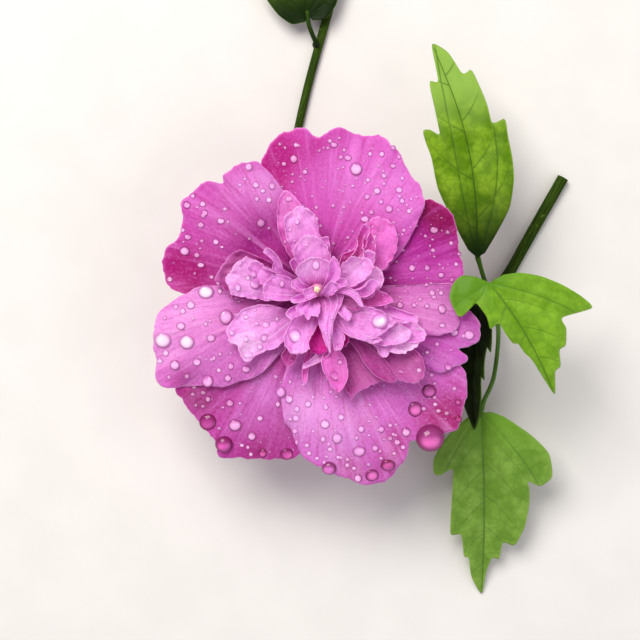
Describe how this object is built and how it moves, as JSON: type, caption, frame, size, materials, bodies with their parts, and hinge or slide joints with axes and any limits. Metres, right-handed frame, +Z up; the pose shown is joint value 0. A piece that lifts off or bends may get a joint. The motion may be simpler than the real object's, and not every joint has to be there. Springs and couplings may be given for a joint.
{
  "type": "cut flowering shoot of rose of sharon",
  "caption": "A cut shoot of rose of sharon lying on its back, with one open double magenta-pink bloom, its stems and lobed, toothed leaves, wet with water drops.",
  "frame": {"origin": "middle of the shoot's footprint, at the level it lies on", "axes": "+Z up, the way the open bloom faces; +Y towards the far end of the upper stem; +X towards the leaves and the cut end"},
  "size_m": [0.1094, 0.1812, 0.0458],
  "materials": {
    "petal": "soft wet petal, magenta rim over lighter pink with fine radial veins",
    "petaloid": "soft wet frilled petal, pale pink",
    "leaf": "satin yellow-green leaf with darker sunken veins",
    "stem": "smooth green young bark",
    "calyx": "matt green calyx",
    "style": "matt cream column and style tip",
    "water": "clear water drops"
  },
  "bodies": {
    "root": {"petal_top": "petal", "petal_upper_left": "petal", "petal_left": "petal", "petal_lower_left": "petal", "petal_bottom": "petal", "petal_lower_right": "petal", "petal_right": "petal", "petal_upper_right": "petal", "petaloid_crown_back": "petaloid", "petaloid_crown_middle": "petaloid", "petaloid_crown_front": "petaloid", "petaloid_spoon": "petaloid", "petaloid_curl": "petaloid", "petaloid_left_outer": "petaloid", "petaloid_left_inner": "petaloid", "petaloid_lower_left": "petaloid", "petaloid_low_centre": "petaloid", "petaloid_frill": "petaloid", "petaloid_hook": "petaloid", "petaloid_keel": "petaloid", "petaloid_arch": "petaloid", "petaloid_right_1": "petaloid", "petaloid_right_2": "petaloid", "petaloid_right_3": "petaloid", "petaloid_right_4": "petaloid", "petaloid_coral": "petaloid", "petaloid_tuft_1": "petaloid", "petaloid_tuft_2": "petaloid", "petaloid_dusty_1": "petaloid", "petaloid_dusty_2": "petaloid", "petaloid_low_fold": "petaloid", "petaloid_low_spoon": "petaloid", "leaf_upright": "leaf", "leaf_right": "leaf", "leaf_hanging": "leaf", "leaf_shaded": "leaf", "leaf_top": "leaf", "stem_lower": "stem", "stem_middle": "stem", "stem_upper": "stem", "pedicel": "stem", "calyx": "calyx", "epicalyx": "calyx", "staminal_column": "style", "style_tip": "style", "water_drop_notch": "water", "water_drop_left": "water", "water_drop_low": "water"}
  },
  "joints": []
}
